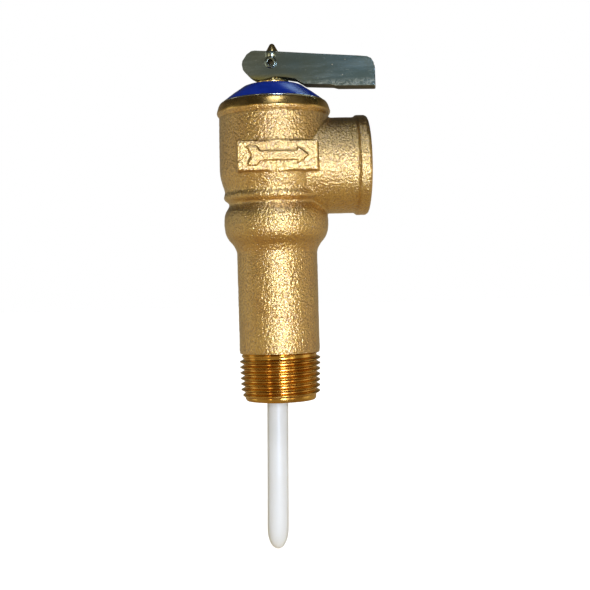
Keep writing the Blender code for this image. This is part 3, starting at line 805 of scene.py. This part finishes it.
def make_lever():
    w = LEVER_W / 2
    lever = extruded("test_lever", lever_outline(), -w, w)
    # bent corners along the bottom of the channel
    bm = bmesh.new()
    bm.from_mesh(lever.data)
    long_edges = [e for e in bm.edges
                  if all(v.co.x > 10.6 * MM and v.co.z < -7.0 * MM for v in e.verts)
                  and abs(e.verts[0].co.y - e.verts[1].co.y) < 1e-6
                  and max(v.co.x for v in e.verts) < 33.3 * MM]
    bmesh.ops.bevel(bm, geom=long_edges, offset=0.9 * MM, segments=4, affect='EDGES', profile=0.5,
                    clamp_overlap=True)
    bm.to_mesh(lever.data)
    bm.free()
    zc = 2.85
    for side in (-1, 1):
        rib = []
        for k in range(25):
            a = math.pi * k / 24
            rib.append((1.95 * math.cos(a), side * (w - 0.75 + 1.35 * math.sin(a))))
        bm = bmesh.new()
        lo = [bm.verts.new((u * MM, v * MM, (zc - 0.95) * MM)) for u, v in rib]
        hi = [bm.verts.new((u * MM, v * MM, (zc + 0.85) * MM)) for u, v in rib]
        bm.faces.new(lo)
        bm.faces.new(list(reversed(hi)))
        for k in range(25):
            q = (k + 1) % 25
            bm.faces.new((lo[k], lo[q], hi[q], hi[k]))
        union(lever, from_bm("t", bm), solver='EXACT')
    i = w - PLATE_T
    hollow = extruded("t", [(-14, -10), (10.2, -10), (10.2, -6.5), (19.4, -7.15), (21.1, -7.62), (34.5, -8.25),
                            (34.5, 8), (-14, 8)], -i, i)
    cut(lever, hollow, solver='EXACT')
    cut(lever, turned("t", [(0, -8), (1.5, -8), (1.5, 8), (0, 8)], 48, matrix=Matrix.Rotation(math.pi / 2, 4, 'X')),
        solver='EXACT')
    soften(lever, 0.15, 38, 2)
    lever.data.transform(TO_LEVER)
    # painted shade: faces turned downwards get a dark, nearly matt material in place of the shade under the lever
    dress(lever, [ZINC, ZINC_PAINTED_SHADE], lambda c, n: (n[:, 2] < -0.55).astype(int))
    finish_piece(lever, "lever", "lever", flat_faces=True)

    prof = [(0.95, -w - 0.75), (1.6, -w - 0.75), (1.95, -w - 0.45), (1.95, -w - 0.1), (1.4, -w - 0.1),
            (1.4, w + 0.1), (1.95, w + 0.1), (1.95, w + 0.45), (1.6, w + 0.75), (0.95, w + 0.75)]
    pin = turned("rivet_pin", prof, 48, 0.14, TO_LEVER @ Matrix.Rotation(math.pi / 2, 4, 'X'))

    def bore(c, n):
        q = (np.array(TO_LEVER.inverted().to_3x3()) @ (c - np.array([0, 0, PIN_Z])).T).T
        return (np.hypot(q[:, 0], q[:, 2]) < 1.05).astype(int)

    # the pin's bore gets the painted shade material
    dress(pin, [ZINC, SHADE], bore)
    finish_piece(pin, "lever", "lever_pin")


# -------------------------------------------------------------- thermostat
def bullet(r0, z0, z_tip, rings=24):
    pts = []
    for i in range(rings + 1):
        t = math.sin(0.5 * math.pi * i / rings)
        pts.append((r0 * math.sqrt(max(0.0, 1.0 - t ** 2.6)) if i < rings else 0.0, z0 - t * (z0 - z_tip)))
    return pts


def make_thermostat():
    spider = turned("carrier_spider", [(8.0, 40.2), (9.4, 40.2), (9.4, 43.8), (8.0, 43.8)], 96, 0.15)
    for k in range(3):
        a = math.radians(30 + 120 * k)
        union(spider, extruded("t", [(4.5, 41.0), (8.7, 41.0), (8.7, 43.4), (4.5, 43.4)], -1.0, 1.0,
                               Matrix.Rotation(a, 4, 'Z')))
    union(spider, turned("t", [(4.1, 40.2), (5.6, 40.2), (5.6, 45.7), (4.1, 45.7)], 96, 0.15))
    dress(spider, [BRASS])
    finish_piece(spider, "valve", "thermostat_spider")
    c_ring("circlip_inlet", [(8.3, 38.9), (10.1, 38.9), (10.1, 39.7), (8.3, 39.7)], "valve", "retaining_ring")
    piece("probe_head", [(3.05, 33.0), (3.75, 33.0), (3.75, 46.0), (5.6, 46.0), (5.6, 47.3), (5.3, 47.6),
                         (3.2, 47.6), (3.2, 52.5), (1.35, 52.5), (1.35, 40.0), (3.05, 40.0)], 0.12, BRASS,
          "valve", "thermostat_head", 64, TILT)
    piece("probe_tube", [(2.95, 39.8)] + bullet(2.95, -41.0, -48.1) + list(reversed(bullet(2.5, -41.0, -47.5)))
          + [(2.5, 39.8)], 0.0, COPPER, "valve", "thermostat_tube", 64, TILT)
    piece("white_sheath", [(3.3, 32.7), (3.46, 32.45)] + bullet(3.46, -41.0, -48.8)
          + list(reversed(bullet(3.05, -41.0, -48.3))) + [(3.05, 32.7)], 0.0, WHITE, "valve", "probe_sheath",
          96, TILT)
    piece("wax_fill", [(0, 35.7), (2.4, 35.7)] + bullet(2.4, -41.0, -47.2), 0.0, WAX, "valve", "wax_charge",
          48, TILT)
    piece("rod_plug", [(1.2, 36.0), (2.4, 36.0), (2.4, 39.7), (1.2, 39.7)], 0.15, RUBBER, "valve", "rod_seal",
          48, TILT)
    piece("lift_rod", [(0, 36.4), (1.1, 36.4), (1.1, 57.3), (0.8, 57.6), (0, 57.6)], 0.1, SPRING, "rod",
          "push_rod", 48, TILT)


# ------------------------------------------------- floor, light and camera
def make_stage():
    m = Mat("floor_white")
    n = m.noise(30, 2.0, 0.5)
    m.color(m.mix(m.level(n, 0.3, 0.7), (0.93, 0.93, 0.93), (0.95, 0.95, 0.95)))
    m.set(Roughness=0.8, Specular_IOR_Level=0.1, Emission_Strength=0.85)
    m.b.inputs["Emission Color"].default_value = (1, 1, 1, 1)
    bm = bmesh.new()
    bmesh.ops.create_grid(bm, x_segments=8, y_segments=8, size=3.0)
    floor = from_bm("floor", bm)
    floor.location.z = CAD_LO[2] - 0.0004
    floor.data.materials.append(m.m)
    floor.visible_glossy = False
    floor.visible_diffuse = False


def area(name, size, loc, target, radiance, color=(1, 1, 1)):
    li = bpy.data.lights.new(name, 'AREA')
    li.shape = 'RECTANGLE'
    li.size, li.size_y = size
    li.energy = radiance * math.pi * size[0] * size[1]
    li.color = color
    ob = bpy.data.objects.new(name, li)
    bpy.context.scene.collection.objects.link(ob)
    ob.location = loc
    ob.rotation_mode = 'QUATERNION'
    ob.rotation_quaternion = (Vector(target) - Vector(loc)).to_track_quat('-Z', 'Y')
    ob.visible_camera = False
    return ob


def make_light():
    w = bpy.data.worlds.new("studio")
    bpy.context.scene.world = w
    w.use_nodes = True
    nt = w.node_tree
    nt.nodes.clear()
    out = nt.nodes.new("ShaderNodeOutputWorld")
    mixs = nt.nodes.new("ShaderNodeMixShader")
    lp = nt.nodes.new("ShaderNodeLightPath")
    cam_bg = nt.nodes.new("ShaderNodeBackground")
    cam_bg.inputs["Color"].default_value = (1, 1, 1, 1)
    cam_bg.inputs["Strength"].default_value = 1.0
    env = nt.nodes.new("ShaderNodeBackground")
    tc = nt.nodes.new("ShaderNodeTexCoord")
    sep = nt.nodes.new("ShaderNodeSeparateXYZ")
    ramp = nt.nodes.new("ShaderNodeValToRGB")
    mr = nt.nodes.new("ShaderNodeMapRange")
    mr.inputs["From Min"].default_value = -1.0
    mr.inputs["From Max"].default_value = 1.0
    nt.links.new(tc.outputs["Generated"], sep.inputs[0])
    nt.links.new(sep.outputs[2], mr.inputs["Value"])
    nt.links.new(mr.outputs["Result"], ramp.inputs["Fac"])
    cr = ramp.color_ramp
    stops = [(0.0, (0.60, 0.47, 0.25)), (0.35, (0.52, 0.43, 0.26)), (0.50, (0.50, 0.44, 0.29)),
             (0.60, (0.26, 0.24, 0.18)), (0.75, (0.06, 0.06, 0.055)), (1.0, (0.035, 0.035, 0.035))]
    while len(cr.elements) < len(stops):
        cr.elements.new(0.5)
    for e, (p, c) in zip(cr.elements, stops):
        e.position, e.color = p, (*c, 1)
    nt.links.new(ramp.outputs["Color"], env.inputs["Color"])
    env.inputs["Strength"].default_value = 0.8
    nt.links.new(lp.outputs["Is Camera Ray"], mixs.inputs[0])
    nt.links.new(env.outputs[0], mixs.inputs[1])
    nt.links.new(cam_bg.outputs[0], mixs.inputs[2])
    nt.links.new(mixs.outputs[0], out.inputs["Surface"])
    t = (0, 0, 0.05)
    area("key", (0.095, 0.42), (0.070, -0.60, -0.02), (0, 0, -0.02), 23.5, (0.80, 1.0, 1.38))
    area("key_soft", (0.16, 0.42), (0.17, -0.62, -0.02), (0, 0, -0.02), 2.2, (1.0, 0.98, 0.90))
    area("high", (0.16, 0.22), (0.020, -0.40, 0.66), (0, 0, 0.08), 8.5, (0.88, 1.0, 1.25))
    area("strip_left", (0.07, 0.46), (-0.38, -0.49, 0.0), (0, 0, 0.0), 3.0, (1.0, 0.86, 0.55))
    area("strip_right", (0.07, 0.46), (0.35, -0.51, 0.0), (0, 0, 0.0), 3.0, (1.0, 0.86, 0.55))
    area("back", (0.4, 0.3), (0.12, 0.52, 0.46), t, 1.8, (1.0, 0.98, 0.94)).visible_glossy = False
    area("fill_right", (0.30, 0.6), (0.62, -0.02, 0.05), t, 0.55, (1.0, 0.96, 0.86))
    area("fill_left", (0.22, 0.6), (-0.62, 0.10, 0.06), t, 0.75, (0.95, 1.0, 0.9))
    sun = bpy.data.lights.new("sky", 'SUN')
    sun.color = (1.0, 0.96, 0.88)
    sun.energy, sun.angle = 0.7, math.radians(75)
    so = bpy.data.objects.new("sky", sun)
    bpy.context.scene.collection.objects.link(so)
    so.visible_glossy = False


def make_camera():
    az = math.radians(-4.0)
    dist, f_px, side, z_cam, horizon = 0.340, 1037.0, 0.0056, 0.0396, 278.0
    roll = math.radians(1.52)
    d = Vector((-math.sin(az), math.cos(az), 0))
    r = Vector((math.cos(az), math.sin(az), 0))
    cam = bpy.data.cameras.new("camera")
    cam.sensor_width = 36.0
    cam.lens = 36.0 * f_px / 590.0
    cam.shift_y = -(295.0 - horizon) / 590.0
    cam.clip_start, cam.clip_end = 0.01, 20.0
    ob = bpy.data.objects.new("camera", cam)
    bpy.context.scene.collection.objects.link(ob)
    ob.location = -d * dist + r * side + Vector((0, 0, z_cam))
    ob.rotation_mode = 'QUATERNION'
    base = d.to_track_quat('-Z', 'Y').to_matrix()
    ob.rotation_quaternion = (base @ Matrix.Rotation(-roll, 3, 'Z')).to_quaternion()
    bpy.context.scene.camera = ob
    bpy.context.scene.view_settings.view_transform = 'Standard'
    bpy.context.scene.view_settings.look = 'None'


make_camera()
make_body()
make_cap()
make_spring()
make_disc()
make_stem()
make_lever()
make_thermostat()
make_stage()
make_light()
